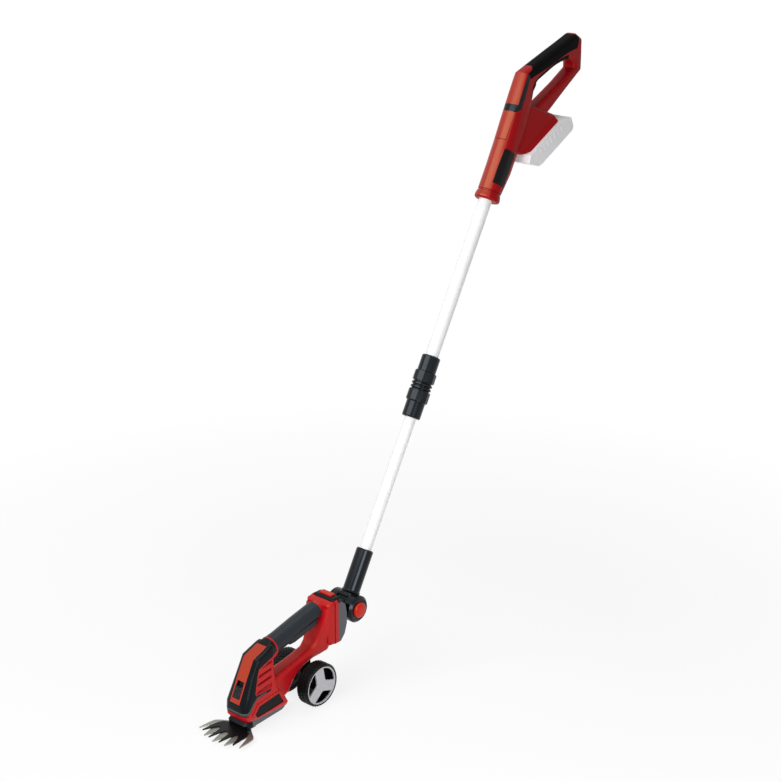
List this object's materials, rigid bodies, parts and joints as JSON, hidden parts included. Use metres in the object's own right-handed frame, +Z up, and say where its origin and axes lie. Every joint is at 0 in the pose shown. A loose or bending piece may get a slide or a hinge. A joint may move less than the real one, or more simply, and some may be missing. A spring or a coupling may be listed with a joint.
{
  "type": "cordless grass shears",
  "caption": "Battery grass shears with a reciprocating comb cutter on a wheeled head, tilt joint, telescopic pole and loop handle with trigger.",
  "frame": {"origin": "on the ground, midway between the wheels and below their axle", "axes": "+X towards the machine's left side, -Y ahead along the blades, +Z up"},
  "size_m": [0.102, 1.0027, 1.1048],
  "materials": {
    "red_housing": "moulded satin red",
    "orange_strip": "moulded satin orange-red",
    "red_button": "moulded bright red",
    "black_moulding": "moulded gloss black",
    "soft_grip": "matt soft-touch charcoal",
    "name_plate": "bare gloss black",
    "grey_moulding": "moulded dark grey",
    "wheel_grey": "moulded satin grey",
    "tyre_black": "moulded matt black",
    "tube_white": "pale powder-coated aluminium",
    "comb_steel": "ground steel",
    "cutter_steel": "black-coated steel",
    "bright_steel": "bright steel",
    "brass": "plain brass",
    "battery_grey": "moulded pale grey",
    "cell_wrap": "shrink wrap"
  },
  "bodies": {
    "handle": {"handle_shell_left": "red_housing", "handle_shell_right": "red_housing", "handle_grip": "soft_grip", "handle_band": "black_moulding", "handle_badge": "name_plate", "handle_collar": "red_housing", "handle_switch": "black_moulding", "handle_contacts": "brass", "upper_tube": "tube_white", "clamp_sleeve": "black_moulding", "clamp_rings": "black_moulding"},
    "handle_trigger": {"handle_trigger": "soft_grip"},
    "battery": {"battery_case": "battery_grey", "battery_base": "battery_grey", "battery_cells": "cell_wrap"},
    "battery_latch": {"battery_latch": "battery_grey"},
    "clamp_nut": {"clamp_nut": "black_moulding"},
    "lower_pole": {"lower_tube": "tube_white", "pole_socket": "black_moulding", "pivot_pin": "bright_steel"},
    "left_pivot_button": {"left_pivot_button": "red_button"},
    "right_pivot_button": {"right_pivot_button": "red_button"},
    "adapter": {"adapter_body": "black_moulding", "adapter_cover": "grey_moulding"},
    "adapter_latch": {"adapter_latch": "red_button"},
    "head": {"head_shell_left": "red_housing", "head_shell_right": "red_housing", "head_grip": "soft_grip", "nose_hood": "black_moulding", "nose_strip": "orange_strip", "head_badge": "name_plate", "base_plate": "grey_moulding", "head_motor": "bright_steel", "gear_plate": "bright_steel", "head_switch": "black_moulding", "head_contacts": "brass", "wheel_bracket": "black_moulding", "wheel_axle": "bright_steel", "blade_holder": "black_moulding", "comb_blade": "comb_steel", "blade_pin": "bright_steel"},
    "head_trigger": {"head_trigger": "soft_grip"},
    "release_slider": {"release_slider": "soft_grip"},
    "left_wheel": {"left_wheel": "tyre_black", "left_wheel_cover": "wheel_grey"},
    "right_wheel": {"right_wheel": "tyre_black", "right_wheel_cover": "wheel_grey"},
    "cutter": {"cutter_blade": "cutter_steel"},
    "motor_pinion": {"motor_pinion": "brass"},
    "crank": {"crank_gear": "bright_steel"}
  },
  "joints": [
    {"name": "handle_trigger_pull", "type": "slide", "parent": "handle", "child": "handle_trigger", "axis": [0, -0.8695, 0.4939], "range_m": [0, 0.004], "stiffness_N_per_m": 600},
    {"name": "battery_slide", "type": "slide", "parent": "handle", "child": "battery", "axis": [0, 0.8797, 0.4755], "range_m": [0, 0.09]},
    {"name": "battery_latch_press", "type": "slide", "parent": "battery", "child": "battery_latch", "axis": [0, -0.8797, -0.4755], "range_m": [0, 0.002], "stiffness_N_per_m": 600},
    {"name": "clamp_twist", "type": "hinge", "parent": "handle", "child": "clamp_nut", "pos_m": [0, 0.1185, 0.1377], "axis": [0, 0.4939, 0.8695], "range_deg": [0, 100]},
    {"name": "telescope", "type": "slide", "parent": "handle", "child": "lower_pole", "axis": [0, 0.4939, 0.8695], "range_m": [0, 0.24]},
    {"name": "left_button_press", "type": "slide", "parent": "lower_pole", "child": "left_pivot_button", "axis": [-1, 0, 0], "range_m": [0, 0.003], "stiffness_N_per_m": 600},
    {"name": "right_button_press", "type": "slide", "parent": "lower_pole", "child": "right_pivot_button", "axis": [1, 0, 0], "range_m": [0, 0.003], "stiffness_N_per_m": 600},
    {"name": "head_tilt", "type": "hinge", "parent": "lower_pole", "child": "adapter", "pos_m": [0, 0.1185, 0.1377], "axis": [1, 0, 0], "range_deg": [-29, 60]},
    {"name": "adapter_latch_press", "type": "slide", "parent": "adapter", "child": "adapter_latch", "axis": [0, 0, -1], "range_m": [0, 0.0025], "stiffness_N_per_m": 600},
    {"name": "head_release", "type": "slide", "parent": "adapter", "child": "head", "axis": [0, 0, -1], "range_m": [0, 0.07]},
    {"name": "head_trigger_pull", "type": "hinge", "parent": "head", "child": "head_trigger", "pos_m": [0, -0.04805, 0.13019], "axis": [1, 0, 0], "range_deg": [0, 2.2], "stiffness_Nm_per_rad": 2},
    {"name": "blade_release", "type": "slide", "parent": "head", "child": "release_slider", "axis": [0, 0.4448, 0.8956], "range_m": [0, 0.008], "stiffness_N_per_m": 300},
    {"name": "left_wheel_spin", "type": "hinge", "parent": "head", "child": "left_wheel", "pos_m": [0, 0, 0.04], "axis": [1, 0, 0], "continuous": true},
    {"name": "right_wheel_spin", "type": "hinge", "parent": "head", "child": "right_wheel", "pos_m": [0, 0, 0.04], "axis": [1, 0, 0], "continuous": true},
    {"name": "cutter_swing", "type": "hinge", "parent": "head", "child": "cutter", "pos_m": [0, -0.1545, 0.01], "axis": [0, 0, 1], "range_deg": [-6.6, 6.6]},
    {"name": "crank_spin", "type": "hinge", "parent": "head", "child": "crank", "pos_m": [0, -0.1286, 0.05], "axis": [0, 0, 1], "continuous": true},
    {"name": "pinion_spin", "type": "hinge", "parent": "head", "child": "motor_pinion", "pos_m": [0, -0.1085, 0.05], "axis": [0, 0, 1], "continuous": true}
  ],
  "couplings": [
    {"joint": "pinion_spin", "follows": "crank_spin", "ratio": -3}
  ]
}
